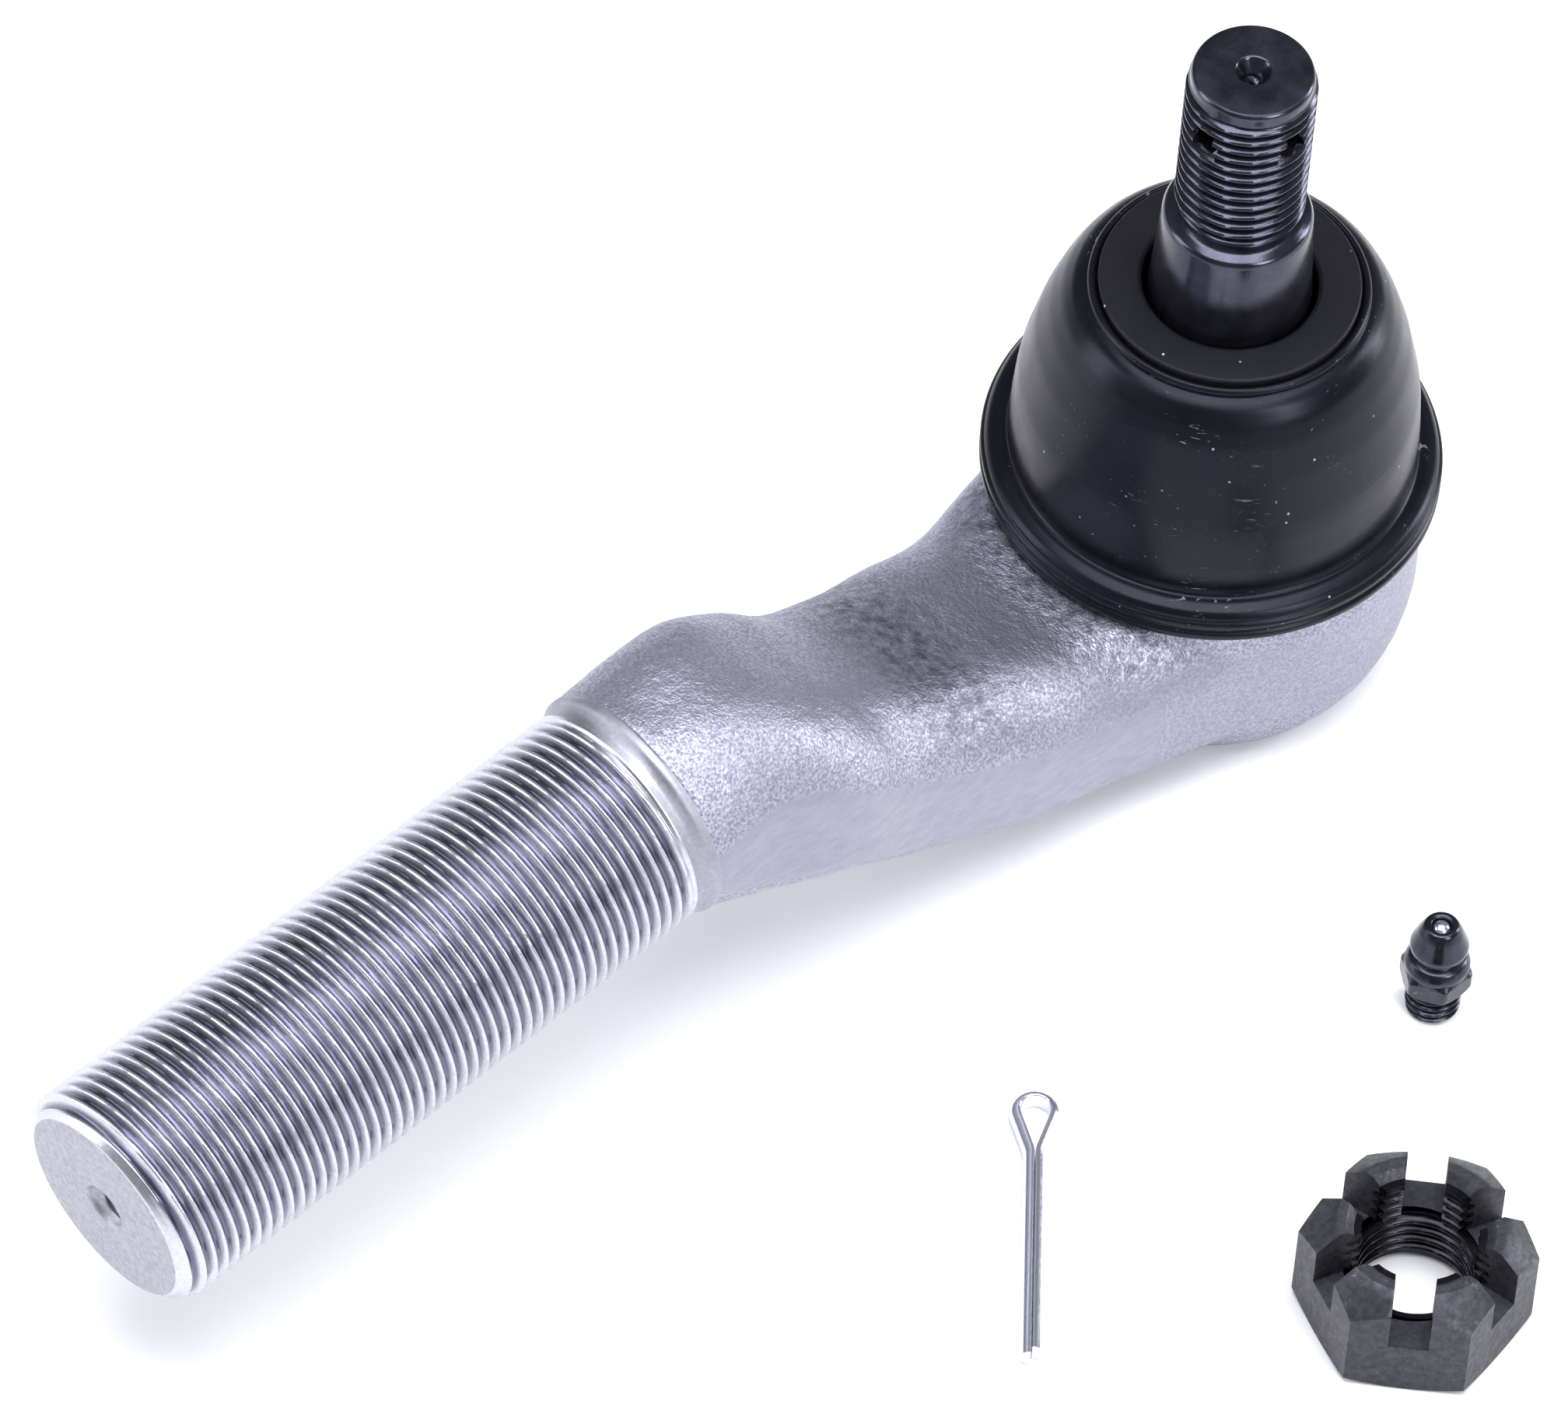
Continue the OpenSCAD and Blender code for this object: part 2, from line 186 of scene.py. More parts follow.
def applied(obj):
    """Turns an object's modifiers into its mesh."""
    graph = bpy.context.evaluated_depsgraph_get()
    graph.update()
    mesh = bpy.data.meshes.new_from_object(obj.evaluated_get(graph))
    old = obj.data
    obj.modifiers.clear()
    obj.data = mesh
    bpy.data.meshes.remove(old)
    return obj


def cut(obj, *cutters, operation="DIFFERENCE"):
    """Cuts obj with other objects, which are then thrown away."""
    for cutter in cutters:
        change = obj.modifiers.new("cut", "BOOLEAN")
        change.operation = operation
        change.solver = "EXACT"
        change.use_hole_tolerant = True
        change.object = cutter
    applied(obj)
    for cutter in cutters:
        bpy.data.objects.remove(cutter)
    return obj


def block(name, low, high):
    """A closed box used only as a cutter."""
    bm = bmesh.new()
    bmesh.ops.create_cube(bm, size=1)
    low, high = Vector(low) * MM, Vector(high) * MM
    for v in bm.verts:
        v.co = Vector((low[i] + (high[i] - low[i]) * (v.co[i] + 0.5) for i in range(3)))
    mesh = bpy.data.meshes.new(name)
    bm.to_mesh(mesh)
    bm.free()
    return new_object(name, mesh)


def rod(name, radius, start, end, columns=48):
    """A closed cylinder from start to end, used only as a cutter."""
    start, end = Vector(start), Vector(end)
    bm = bmesh.new()
    bmesh.ops.create_cone(bm, cap_ends=True, segments=columns, radius1=radius * MM, radius2=radius * MM,
                          depth=(end - start).length * MM)
    mesh = bpy.data.meshes.new(name)
    bm.to_mesh(mesh)
    bm.free()
    middle = Matrix.Translation((start + end) / 2 * MM)
    mesh.transform(middle @ (end - start).to_track_quat("Z", "Y").to_matrix().to_4x4())
    return new_object(name, mesh)


# ------------------------------------------------------------------- materials

# places of the colour sockets on a Mix node
COLOUR_A, COLOUR_B, COLOUR_OUT = 6, 7, 2


class Nodes:
    """Short names for building one material's node tree."""

    def __init__(self, name):
        self.material = bpy.data.materials.new(name)
        self.material.use_nodes = True
        self.tree = self.material.node_tree
        self.shader = self.tree.nodes["Principled BSDF"]
        self.place = self.add("ShaderNodeTexCoord").outputs["Object"]

    def add(self, kind, **settings):
        node = self.tree.nodes.new(kind)
        for key, value in settings.items():
            setattr(node, key, value)
        return node

    def link(self, a, b):
        self.tree.links.new(a, b)

    def set(self, **values):
        for key, value in values.items():
            self.shader.inputs[key.replace("_", " ")].default_value = value

    def noise(self, size_mm, detail=3.0, roughness=0.55, stretch=(1, 1, 1), distortion=0.0):
        place = self.place
        if stretch != (1, 1, 1):
            mapping = self.add("ShaderNodeMapping")
            mapping.inputs["Scale"].default_value = stretch
            self.link(place, mapping.inputs["Vector"])
            place = mapping.outputs["Vector"]
        node = self.add("ShaderNodeTexNoise")
        node.inputs["Scale"].default_value = 1 / (size_mm * MM)
        node.inputs["Detail"].default_value = detail
        node.inputs["Roughness"].default_value = roughness
        node.inputs["Distortion"].default_value = distortion
        self.link(place, node.inputs["Vector"])
        return node.outputs["Fac"]

    def spots(self, spacing_mm, radius):
        """1 inside small scattered dots, 0 elsewhere."""
        node = self.add("ShaderNodeTexVoronoi", feature="F1")
        node.inputs["Scale"].default_value = 1 / (spacing_mm * MM)
        self.link(self.place, node.inputs["Vector"])
        return self.ramp(node.outputs["Distance"], (radius * 0.6, 1), (radius, 0))

    def ramp(self, value, *stops):
        node = self.add("ShaderNodeValToRGB")
        elements = node.color_ramp.elements
        while len(elements) < len(stops):
            elements.new(0.5)
        for element, (place, level) in zip(elements, stops):
            element.position = place
            element.color = (level, level, level, 1) if not isinstance(level, tuple) else (*level, 1)
        self.link(value, node.inputs["Fac"])
        return node.outputs["Color"]

    def math(self, operation, a, b=None, c=None):
        node = self.add("ShaderNodeMath", operation=operation)
        for socket, value in zip(node.inputs, (a, b, c)):
            if value is None:
                continue
            if isinstance(value, (int, float)):
                socket.default_value = value
            else:
                self.link(value, socket)
        return node.outputs[0]

    def mix(self, factor, a, b):
        node = self.add("ShaderNodeMix", data_type="RGBA")
        sockets = (node.inputs["Factor"], node.inputs[COLOUR_A], node.inputs[COLOUR_B])
        for socket, value in zip(sockets, (factor, a, b)):
            if isinstance(value, tuple):
                socket.default_value = (*value, 1)
            elif isinstance(value, (int, float)):
                socket.default_value = value
            else:
                self.link(value, socket)
        return node.outputs[COLOUR_OUT]

    def paint_root_shade(self, colour, root, depth=1.0):
        """Darkens a colour towards the thread's root: painted shade in the thread grooves."""
        low = self.ramp(self.attribute("groove"), (0.5, 0.0), (1.0, depth))
        return self.mix(low, colour, root)

    def attribute(self, name):
        return self.add("ShaderNodeAttribute", attribute_name=name).outputs["Fac"]

    def bump(self, height, distance_mm, strength=1.0):
        node = self.add("ShaderNodeBump")
        node.inputs["Strength"].default_value = strength
        node.inputs["Distance"].default_value = distance_mm * MM
        self.link(height, node.inputs["Height"])
        return node.outputs["Normal"]

    def out(self, colour=None, roughness=None, normal=None):
        for socket, value in (("Base Color", colour), ("Roughness", roughness), ("Normal", normal)):
            if value is not None:
                self.link(value, self.shader.inputs[socket])
        return self.material


def forged_steel():
    """Shot-blasted forging: coarse sparkling grain, smoother on the trimmed flanks, with painted shade in
    dark patches where the top faces up in the dip and round the cup.
    """
    n = Nodes("forged_steel")
    flank = n.attribute("flank")
    cut_zone = n.attribute("machined")
    grain = n.noise(0.34, 2, 0.6)
    coarse = n.noise(1.3, 3, 0.6)
    cloud = n.noise(11, 3, 0.5)
    dip_shade_mask = n.attribute("dip")
    calm = n.math("MAXIMUM", flank, cut_zone)
    light = n.mix(cloud, (0.31, 0.31, 0.385), (0.42, 0.42, 0.50))
    speck = n.ramp(grain, (0.36, 0.66), (0.5, 0.92), (0.64, 1.22))
    lit = n.add("ShaderNodeMix", data_type="RGBA", blend_type="MULTIPLY")
    lit.inputs["Factor"].default_value = 1
    n.link(light, lit.inputs[COLOUR_A])
    n.link(speck, lit.inputs[COLOUR_B])
    # painted shade: dark patches where the top faces up in the arm's dip and round the cup
    patch = n.math("MULTIPLY", n.ramp(coarse, (0.35, 0.0), (0.65, 1.0)), dip_shade_mask)
    grainy = n.mix(patch, lit.outputs[COLOUR_OUT], (0.13, 0.13, 0.17))
    streak = n.noise(0.8, 4, 0.7, stretch=(0.35, 1, 1))
    smooth = n.mix(streak, (0.27, 0.27, 0.325), (0.35, 0.35, 0.41))
    colour = n.mix(calm, grainy, smooth)
    rough = n.mix(calm, n.ramp(grain, (0.3, 0.62), (0.7, 0.38)), n.ramp(streak, (0.3, 0.50), (0.7, 0.36)))
    depth = n.math("MULTIPLY_ADD", calm, -0.86, 1.0)
    pits = n.math("ADD", n.math("MULTIPLY", grain, 0.6), n.math("MULTIPLY", coarse, 1.0))
    height = n.math("MULTIPLY", pits, depth)
    n.set(Metallic=0.92)
    return n.out(colour, rough, n.bump(height, 0.26, 0.75))


def cut_steel(name, base, rough):
    """Bright machined steel with fine tool marks, and painted shade in the thread roots."""
    n = Nodes(name)
    mark = n.noise(0.5, 4, 0.7)
    cloud = n.noise(6, 3)
    dark = tuple(v * 0.78 for v in base)
    colour = n.mix(n.ramp(mark, (0.3, 0.0), (0.7, 1.0)), dark, base)
    roughness = n.ramp(cloud, (0.3, rough * 0.8), (0.7, rough * 1.25))
    # painted shade: the colour darkens towards the thread roots
    colour = n.paint_root_shade(colour, (base[0] * 0.2, base[1] * 0.2, base[2] * 0.27))
    n.set(Metallic=1.0)
    return n.out(colour, roughness, n.bump(mark, 0.02, 0.6))


def end_face_steel():
    """Saw-cut and faced end: matte grey with a soft mottle."""
    n = Nodes("end_face_steel")
    mottle = n.noise(0.7, 4, 0.65)
    colour = n.mix(n.ramp(mottle, (0.35, 0.0), (0.65, 1.0)), (0.33, 0.33, 0.37), (0.43, 0.43, 0.47))
    n.set(Metallic=0.75)
    return n.out(colour, n.ramp(mottle, (0.3, 0.58), (0.7, 0.46)), n.bump(mottle, 0.03, 0.7))


def black_oxide(name, colour, rough, scuff=0.0):
    """Oil-blackened steel: glossy, with a faint violet cast, small handling marks and painted shade in the
    thread roots.
    """
    n = Nodes(name)
    cloud = n.noise(3.0, 4, 0.6)
    grain = n.noise(0.25, 2)
    mark = n.ramp(n.noise(1.1, 5, 0.75), (0.60, 0.0), (0.72, 1.0))
    worn = n.math("MULTIPLY", mark, scuff)
    lighter = tuple(v * 1.7 for v in colour)
    tone = n.mix(n.ramp(cloud, (0.35, 0.0), (0.65, 1.0)), colour, lighter)
    tone = n.mix(worn, tone, (0.30, 0.30, 0.33))
    # painted shade: the colour darkens almost to black towards the thread roots
    tone = n.paint_root_shade(tone, (0.001, 0.001, 0.0015), 0.85)
    n.set(Metallic=0.88, Coat_Weight=0.12, Coat_Roughness=0.18)
    return n.out(tone, n.ramp(cloud, (0.3, rough * 0.85), (0.7, rough * 1.2)), n.bump(grain, 0.012, 0.6))


def boot_rubber():
    """Moulded rubber: satin black with dust specks and pale scuffs."""
    n = Nodes("boot_rubber")
    skin = n.noise(0.18, 3, 0.6)
    cloud = n.noise(7, 4, 0.6)
    dust = n.math("MULTIPLY", n.spots(2.1, 0.085), n.ramp(n.noise(5, 2), (0.52, 0.0), (0.60, 1.0)))
    fine_area = n.ramp(n.noise(4, 2), (0.54, 0.0), (0.66, 0.45))
    fine_dust = n.math("MULTIPLY", n.spots(0.9, 0.10), fine_area)
    strokes = n.noise(0.9, 3, 0.7, stretch=(0.35, 0.35, 2.2), distortion=1.2)
    scratch = n.ramp(strokes, (0.64, 0.0), (0.70, 1.0))
    scuff = n.math("MULTIPLY", scratch, n.ramp(n.noise(9, 1), (0.57, 0.0), (0.66, 0.55)))
    pale = n.math("MINIMUM", n.math("ADD", n.math("ADD", dust, fine_dust), scuff), 1.0)
    black = n.mix(cloud, (0.0030, 0.0030, 0.0050), (0.0055, 0.0055, 0.0085))
    colour = n.mix(pale, black, (0.32, 0.32, 0.36))
    rough = n.mix(pale, n.ramp(cloud, (0.35, 0.25), (0.65, 0.34)), (0.7, 0.7, 0.7))
    n.set(Specular_IOR_Level=0.2, Specular_Tint=(0.78, 0.80, 1.0, 1.0))
    return n.out(colour, rough, n.bump(skin, 0.02, 0.5))


def washer_plastic():
    n = Nodes("washer_plastic")
    skin = n.noise(0.3, 3, 0.6)
    cloud = n.noise(5, 3)
    n.set(Specular_IOR_Level=0.18)
    colour = n.mix(cloud, (0.006, 0.006, 0.009), (0.010, 0.010, 0.014))
    dust = n.math("MULTIPLY", n.spots(3.6, 0.05), n.ramp(n.noise(6, 2), (0.54, 0.0), (0.64, 1.0)))
    return n.out(n.mix(dust, colour, (0.7, 0.7, 0.72)), n.ramp(skin, (0.3, 0.52), (0.7, 0.42)),
                 n.bump(skin, 0.015, 0.6))


def phosphate(name, colour, rough, metallic):
    """Phosphated steel: dark, dry and slightly mottled."""
    n = Nodes(name)
    mottle = n.noise(0.9, 5, 0.7)
    patch = n.noise(4.5, 3)
    lighter = tuple(v * 1.9 + 0.01 for v in colour)
    tone = n.mix(n.ramp(mottle, (0.38, 0.0), (0.66, 1.0)), colour, lighter)
    worn = n.ramp(n.noise(1.7, 6, 0.8), (0.60, 0.0), (0.70, 0.55))
    tone = n.mix(worn, tone, (0.20, 0.19, 0.19))
    height = n.math("ADD", n.math("MULTIPLY", mottle, 0.7), patch)
    n.set(Metallic=metallic)
    return n.out(tone, n.ramp(mottle, (0.3, rough * 1.15), (0.7, rough * 0.85)), n.bump(height, 0.06, 0.8))


def zinc():
    n = Nodes("bright_zinc")
    drawn = n.noise(0.35, 3, 0.6)
    colour = n.mix(drawn, (0.66, 0.68, 0.76), (0.86, 0.88, 0.94))
    n.set(Metallic=1.0)
    return n.out(colour, n.ramp(drawn, (0.3, 0.26), (0.7, 0.16)), n.bump(drawn, 0.01, 0.5))


def hidden_polymer():
    n = Nodes("bearing_polymer")
    skin = n.noise(0.6, 3)
    colour = n.mix(skin, (0.62, 0.58, 0.46), (0.74, 0.71, 0.60))
    return n.out(colour, n.ramp(skin, (0.3, 0.55), (0.7, 0.42)), n.bump(skin, 0.02, 0.5))


def pale_floor():
    n = Nodes("pale_floor")
    cloud = n.noise(120, 2)
    n.set(Roughness=0.75, Specular_IOR_Level=0.2)
    return n.out(n.mix(cloud, (0.90, 0.90, 0.905), (0.92, 0.92, 0.925)))


FORGED = forged_steel()
BRIGHT = cut_steel("bright_thread", (0.62, 0.62, 0.67), 0.32)
COLLAR = cut_steel("turned_collar", (0.40, 0.40, 0.45), 0.52)
PLATE = cut_steel("plate_steel", (0.42, 0.42, 0.45), 0.38)
SPRING = cut_steel("spring_steel", (0.36, 0.36, 0.38), 0.32)
END_FACE = end_face_steel()
STUD_BLACK = black_oxide("stud_black", (0.034, 0.034, 0.048), 0.18, 0.05)
STUD_TOP = black_oxide("stud_top", (0.020, 0.020, 0.029), 0.40, 0.04)
RUBBER = boot_rubber()
WASHER = washer_plastic()
NUT = phosphate("nut_phosphate", (0.020, 0.020, 0.026), 0.46, 0.45)
# a paler, glossier colour on the nut's bevelled edges
NUT_EDGE = phosphate("nut_pale_edge", (0.075, 0.075, 0.09), 0.34, 0.8)
NUT_THREAD = black_oxide("nut_thread", (0.012, 0.012, 0.016), 0.22, 0.15)
FITTING = black_oxide("fitting_dark", (0.026, 0.026, 0.036), 0.22, 0.4)
ZINC = zinc()
POLYMER = hidden_polymer()


def show(obj, body, *nodes, slot):
    """Puts a finished piece on its body, in place of the CAD nodes it stands for."""
    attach(obj, body)
    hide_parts(*nodes)
    return obj


# --------------------------------------------------------------------- housing

SHANK_RISE, SHANK_SLOPE = 27.6, 5.5
SHANK_REACH, SHANK_LEN, SHANK_THREAD_LEN, SHANK_R, SHANK_PITCH = 158.2, 72.5, 70.6, 13.0, 1.5
SEAT_Z, CUP_BASE, CUP_R, SPIGOT_R, BORE_R = 9.2, 16.2, 23.4, 18.6, 15.6

# sections of the arm: x, middle z, half width, half height, upper corner, lower corner
ARM = np.array([
    [-84.4, 19.5, 13.35, 13.4, 13.3, 13.3],
    [-77.0, 19.0, 13.2, 13.7, 10.8, 9.0],
    [-70.0, 17.5, 14.1, 13.1, 10.0, 6.5],
    [-63.0, 14.2, 14.8, 11.9, 10.8, 5.5],
    [-56.0, 9.1, 14.1, 11.5, 10.5, 5.2],
    [-48.0, 5.2, 14.6, 11.0, 10.3, 5.2],
    [-38.0, 1.5, 15.6, 11.0, 10.3, 5.2],
    [-28.0, -1.0, 16.3, 10.2, 9.4, 5.2],
    [-20.0, -1.6, 17.9, 10.3, 8.2, 5.2],
    [-14.0, -1.6, 19.4, 10.3, 8.2, 5.2],
    [-8.0, -1.6, 20.4, 10.3, 8.2, 5.2]])


def along_shank():
    """The placement that turns a piece made along +Z so that it lies on the shank."""
    slope = Matrix.Rotation(math.radians(-90 - SHANK_SLOPE), 4, "Y")
    return Matrix.Translation((0, 0, SHANK_RISE * MM)) @ slope


def section(half_w, half_h, upper, lower, count=12):
    """A rounded rectangle in the YZ plane, as (y, z) points."""
    points = []
    corners = ((half_w, half_h, upper, 0), (-half_w, half_h, upper, 90),
               (-half_w, -half_h, lower, 180), (half_w, -half_h, lower, 270))
    for y, z, corner, start in corners:
        for t in np.linspace(0, 90, count):
            a = math.radians(start + t)
            points.append((y - math.copysign(corner, y) + corner * math.cos(a),
                           z - math.copysign(corner, z) + corner * math.sin(a)))
    return points


def arm_mesh():
    """The forged arm as one smooth loft through its sections, closed at both ends."""
    xs = np.arange(ARM[0, 0], ARM[-1, 0] + 0.01, 0.8)
    table = [smooth_curve(ARM[:, 0], ARM[:, column], xs) for column in range(1, 6)]
    rows = []
    for x, z, half_w, half_h, upper, lower in zip(xs, *table):
        lean = math.tan(math.radians(SHANK_SLOPE)) * smoothstep(-70, -84, x)
        rows.append([(x - lean * dz, y, z + dz) for y, dz in section(half_w, half_h, upper, lower)])
    rows = np.array(rows)
    ends = [np.repeat(rows[i].mean(0)[None, :], rows.shape[1], 0)[None] for i in (0, -1)]
    return grid_mesh("arm", np.concatenate([ends[0], rows, ends[1]]))


def smooth_curve(x, y, at):
    """A monotone smooth curve through the points, so that it never overshoots."""
    step = np.diff(x)
    slope = np.diff(y) / step
    product, total = slope[:-1] * slope[1:], slope[:-1] + slope[1:]
    harmonic = 2 * product / np.where(total == 0, 1, total)
    middle = np.where(product > 0, harmonic, 0)
    tangent = np.concatenate([[slope[0]], middle, [slope[-1]]])
    k = np.clip(np.searchsorted(x, at) - 1, 0, len(step) - 1)
    t = (at - x[k]) / step[k]
    return ((2 * t ** 3 - 3 * t ** 2 + 1) * y[k] + (t ** 3 - 2 * t ** 2 + t) * step[k] * tangent[k]
            + (3 * t ** 2 - 2 * t ** 3) * y[k + 1] + (t ** 3 - t ** 2) * step[k] * tangent[k + 1])


def cup_mesh():
    """The cup as a ring: outside, boot spigot, bearing bore and the lip rolled over the plate."""
    outline = rounded([
        (14.4, -CUP_BASE), (17.6, -CUP_BASE), (20.2, -14.6), (21.9, -11.7), (22.9, -8.5),
        (CUP_R, -5), (CUP_R, SEAT_Z), (SPIGOT_R, SEAT_Z), (SPIGOT_R, SEAT_Z + 2.8),
        (15.4, SEAT_Z + 2.8), (12.4, 8.0), (BORE_R, 7.9), (BORE_R, -12.8), (16.3, -12.8),
        (16.3, -14.5), (14.4, -14.5)], 0.5, 3, closed=True)
    return turned("cup", outline + outline[:1], 160)


def forging():
    """Cup and arm fused into one skin, then roughened like a blasted forging."""
    cup = new_object("housing_forging", cup_mesh())
    arm = cut(new_object("arm", arm_mesh()), rod("bore", BORE_R + 0.6, (0, 0, -20), (0, 0, 20), 96))
    bm = bmesh.new()
    bm.from_mesh(cup.data)
    bm.from_mesh(arm.data)
    bm.to_mesh(cup.data)
    bm.free()
    bpy.data.objects.remove(arm)
    skin = cup.modifiers.new("skin", "REMESH")
    skin.mode = "VOXEL"
    skin.voxel_size = 0.5 * MM
    ease = cup.modifiers.new("ease", "SMOOTH")
    ease.factor = 0.5
    ease.iterations = 7
    applied(cup)
    mesh = cup.data
    count = len(mesh.vertices)
    place = np.empty(count * 3)
    normal = np.empty(count * 3)
    mesh.vertices.foreach_get("co", place)
    mesh.vertices.foreach_get("normal", normal)
    place, normal = place.reshape(-1, 3) / MM, normal.reshape(-1, 3)
    x, y, z = place.T
    distance = np.hypot(x, y)
    on_arm = 1 - smoothstep(-24, -20, x)
    half_width = smooth_curve(ARM[:, 0], ARM[:, 2], np.clip(x, ARM[0, 0], ARM[-1, 0]))
    flank = smoothstep(0.55, 0.2, half_width - np.abs(y)) * on_arm
    cup_band = smoothstep(22.6, 23.1, distance) * smoothstep(-9, -7, z) * smoothstep(7, 4, z)
    flank = np.maximum(flank, cup_band * 0.55)
    machined = np.maximum(smoothstep(SEAT_Z - 0.7, SEAT_Z - 0.2, z) * (distance < 22.6),
                          (distance < BORE_R + 0.6) * 1.0)
    machined = np.maximum(machined, 1 - smoothstep(-CUP_BASE + 0.3, -CUP_BASE + 1.0, z))
    # dip: where the top faces up in the arm's dip and round the cup; the mask for the material's painted
    # shade
    dip = (1 - smoothstep(0, 12, np.abs(x + 46))) * smoothstep(0.2, 0.8, normal[:, 2])
    dip = np.maximum(dip, (1 - smoothstep(25, 34, distance)) * smoothstep(0.3, 0.8, normal[:, 2]))
    lumps = np.array([noise.noise(Vector(p) / 7.0) * 0.16 + noise.noise(Vector(p) / 1.7) * 0.05
                      for p in place])
    calm = np.maximum(flank * 0.8, machined)
    place = place + normal * (lumps * (1 - calm))[:, None]
    mesh.vertices.foreach_set("co", (place * MM).ravel())
    for name, values in (("flank", flank), ("machined", machined), ("dip", dip)):
        layer = mesh.attributes.new(name, "FLOAT", "POINT")
        layer.data.foreach_set("value", values.astype(np.float32))
    finish_mesh(mesh, 60)
    mesh.materials.clear()
    mesh.materials.append(FORGED)
    return show(cup, "housing_body", "housing", slot="forged_steel")


def shank():
    """The turned shank: collar, bead, helical thread, chamfer and centre-drilled end."""
    r, tip = SHANK_R, SHANK_REACH
    base, low, high = tip - SHANK_LEN, tip - SHANK_THREAD_LEN, tip - 1.9
    outline = [(0, base - 3), (r - 0.1, base - 3), (r - 0.1, base - 1.6), (r + 0.35, base - 1.5),
               (r + 0.55, base - 1.2), (r + 0.55, base - 0.5), (r + 0.2, base), (r - 0.1, base + 0.7),
               (r - 0.1, low - 0.3), (r - 0.02, low), (r - 0.02, high), (r - 1.9, tip),
               (2.7, tip), (1.25, tip - 2.6), (1.25, tip - 5.2), (0, tip - 6)]
    mesh = turned("shank", rounded(outline, 0.25, 2), 160,
                  threads=[(low - 0.3, tip - 0.5, SHANK_PITCH, 0.86)])
    materials = (COLLAR, BRIGHT, END_FACE)
    for face in mesh.polygons:
        z = face.center.z / MM
        if z > tip - 0.06 or (z > tip - 7 and face.center.xy.length / MM < 2.8):
            face.material_index = 2
        elif z > low - 0.25:
            face.material_index = 1
    mesh.transform(along_shank())
    finish_mesh(mesh, 50)
    obj = new_object("housing_shank", mesh, *materials)
    return show(obj, "housing_body", "housing", slot="forged_steel")


# ------------------------------------------------------------------- dust boot

RIM_R, FLANGE_R = 15.2, 24.9
# heights of the boot's foot, seam and lip; the boot is cut in two at the seam
BOOT_FOOT_Z, BOOT_SEAM_Z, BOOT_LIP_Z = 13.5, 24.0, 33.0


def boot_outline():
    """The boot's closed outline, from the seat round the outside and back down the inside."""
    s, f, rim, wall = SEAT_Z, FLANGE_R, RIM_R, 1.8
    outside = [(SPIGOT_R + 0.06, s + 0.05), (f - 0.5, s + 0.05), (f, s + 0.45), (f, s + 1.25),
               (f - 0.38, s + 1.5), (f - 0.38, s + 1.85), (f, s + 2.15), (f, s + 2.85),
               (f - 0.45, s + 3.15), (f - 0.45, s + 3.45), (f - 0.85, s + 4.0), (f - 1.9, s + 4.45),
               (f - 2.7, s + 4.5), (21.95, s + 5.3), (22.0, 17.6), (21.7, 22)]
    over = [(21.45, BOOT_SEAM_Z), (21.0, 26), (20.1, 30), (18.75, 34), (17.6, 36.4), (16.5, 37.8),
            (15.7, 38.3), (rim - 0.15, 38.5), (rim, 38.9), (rim - 0.15, 39.3), (rim - 0.5, 39.5),
            (rim - 0.9, 39.3), (rim - 1.05, 38.9), (rim - 1.1, 38.6), (9.4, 38.6), (9.4, 34.2),
            (9.9, 33.6), (13.6, 35.4), (16.4, 33.8), (18.75 - wall + 0.2, 31.6), (20.1 - wall, 28.4),
            (21.45 - wall, BOOT_SEAM_Z)]
    inside = [(21.7 - wall, 21.5), (22 - wall, 17.6), (22 - wall, 14.4), (SPIGOT_R + 0.06, 12.9)]
    return outside, over, inside


def boot_profile_smooth(points):
    """Rounds every corner, then takes the edges off what is left."""
    return rounded(rounded(points, 0.7, 3), 0.25, 2)


def dust_boot():
    """Two half shells that meet at the seam."""
    outside, over, inside = boot_outline()
    whole = boot_profile_smooth(outside + over + inside + outside[:1])
    whole = resampled(whole, 0.7)
    radii = np.array(whole)
    top_index = int(np.argmax(radii[:, 1]))
    out_cut = min(range(0, top_index), key=lambda i: abs(radii[i, 1] - BOOT_SEAM_Z))
    in_cut = min(range(top_index, len(whole)), key=lambda i: abs(radii[i, 1] - BOOT_SEAM_Z))
    whole[out_cut] = np.array([radii[out_cut, 0], BOOT_SEAM_Z])
    whole[in_cut] = np.array([radii[in_cut, 0], BOOT_SEAM_Z])
    upper = whole[out_cut:in_cut + 1]
    lower = whole[in_cut:] + whole[1:out_cut + 1]
    for name, part, ends, bodies in (
            ("boot_lower", lower, (BOOT_FOOT_Z, BOOT_SEAM_Z), ("housing_body", "liner")),
            ("boot_upper", upper, (BOOT_SEAM_Z, BOOT_LIP_Z), ("liner", "boot_top"))):
        mesh = turned(name, part, 192)
        finish_mesh(mesh, 70)
        obj = new_object(name, mesh, RUBBER)
        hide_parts("dust_boot")
        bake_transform(obj)


def boot_washer():
    """The flat sealing washer in the boot's mouth."""
    r0, r1 = 9.35, RIM_R - 1.15
    outline = [(r0 + 0.25, 38.63), (r1, 38.63), (r1, 39.8), (r1 - 0.2, 40), (r0 + 0.5, 40),
               (r0 + 0.1, 39.75), (r0, 38.9), (r0 + 0.25, 38.63)]
    mesh = turned("boot_washer", rounded(outline, 0.12, 3), 160)
    finish_mesh(mesh, 50)
    obj = new_object("boot_washer", mesh, WASHER)
    return show(obj, "boot_top", "boot_top_washer", slot="washer_plastic")


# ------------------------------------------------------------------- ball stud

STUD_TOP_Z, STUD_R, STUD_PITCH = 74.0, 7.0, 1.5
BALL_R, NECK_R = 12.5, 6.5


def taper_radius(z):
    return 8.03 + (51 - z) / 16


